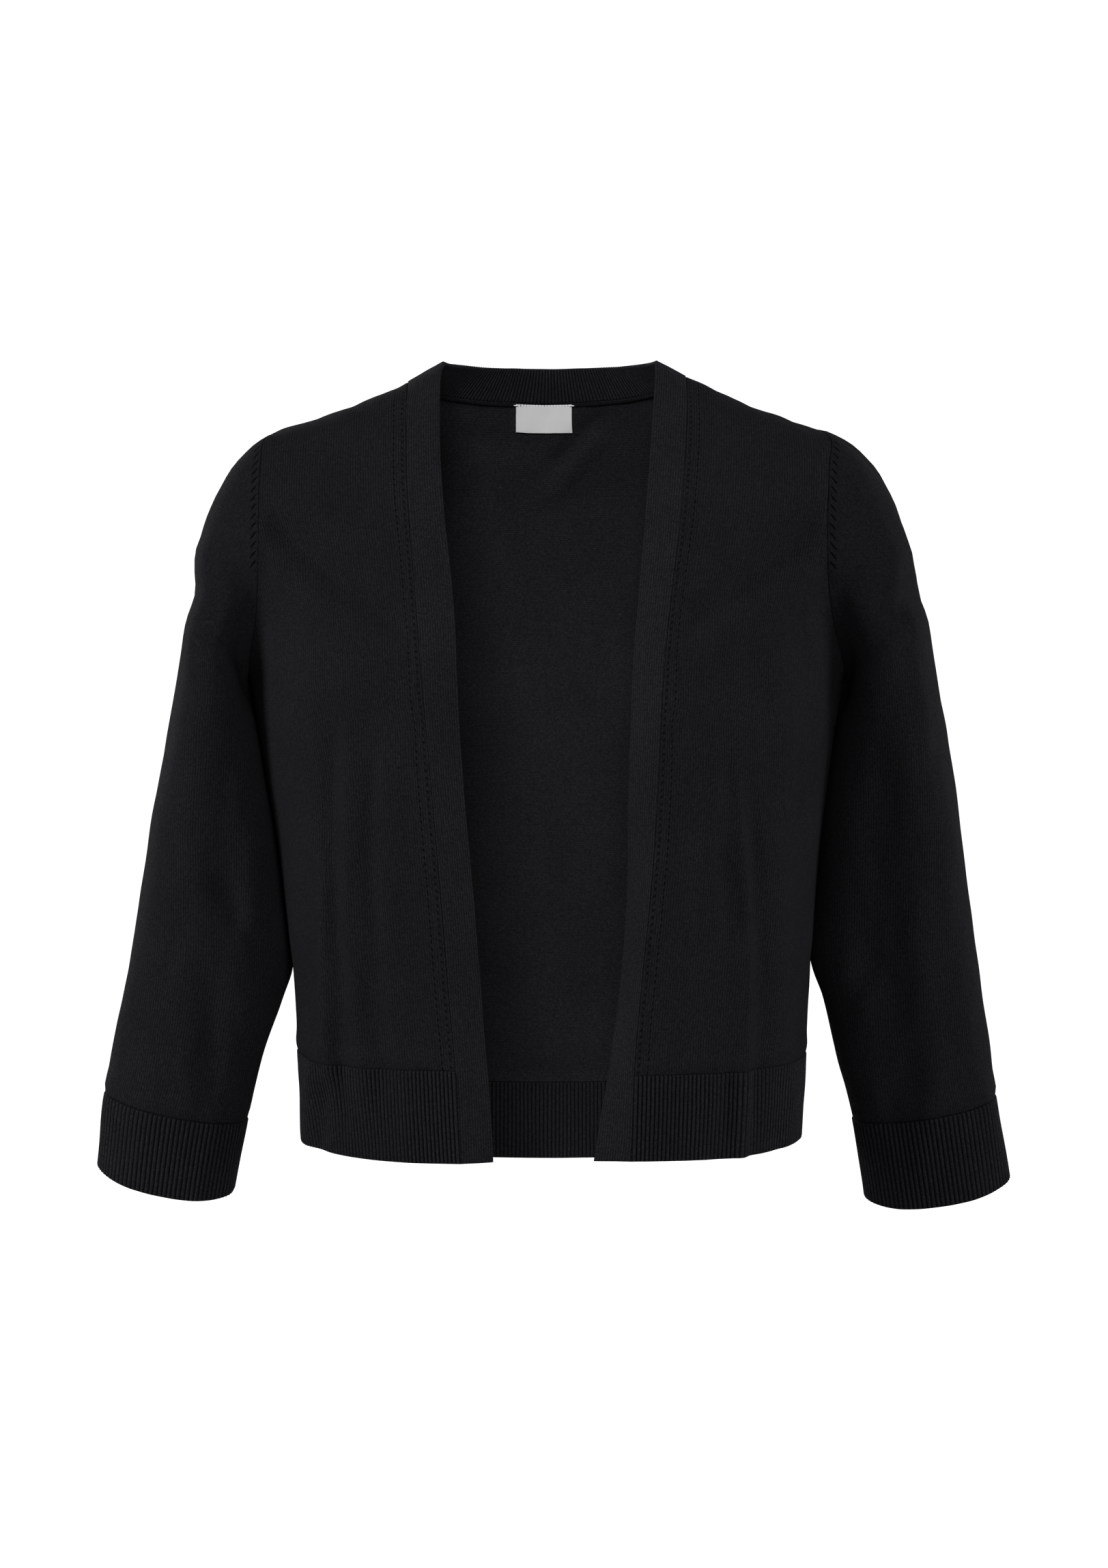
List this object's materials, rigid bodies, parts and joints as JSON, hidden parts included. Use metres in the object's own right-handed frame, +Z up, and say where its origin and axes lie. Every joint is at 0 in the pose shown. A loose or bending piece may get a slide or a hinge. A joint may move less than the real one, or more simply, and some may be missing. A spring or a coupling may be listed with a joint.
{
  "type": "cardigan",
  "caption": "Cropped open-front knitted cardigan with three-quarter sleeves, ribbed hem, cuffs and neck edge and plain front bands, filled out with no wearer.",
  "frame": {"origin": "midway between the two neck points, where the band seams meet the shoulder seams, at the height where the wearer's shoulders hold the garment", "axes": "+X across the garment to the viewer's right, -Y to the front that opens, +Z up"},
  "size_m": [0.6037, 0.2085, 0.5588],
  "materials": {
    "knit": "matt black fine-gauge plain knit",
    "rib": "matt black rib knit",
    "band": "matt black close double knit",
    "label": "white woven satin, bare"
  },
  "bodies": {
    "root": {"back": "knit", "front_left": "knit", "front_right": "knit", "sleeve_left": "knit", "sleeve_right": "knit", "hem_rib_back": "rib", "hem_rib_left": "rib", "hem_rib_right": "rib", "cuff_left": "rib", "cuff_right": "rib", "neck_rib": "rib", "band_left": "band", "band_right": "band", "label": "label"}
  },
  "joints": []
}
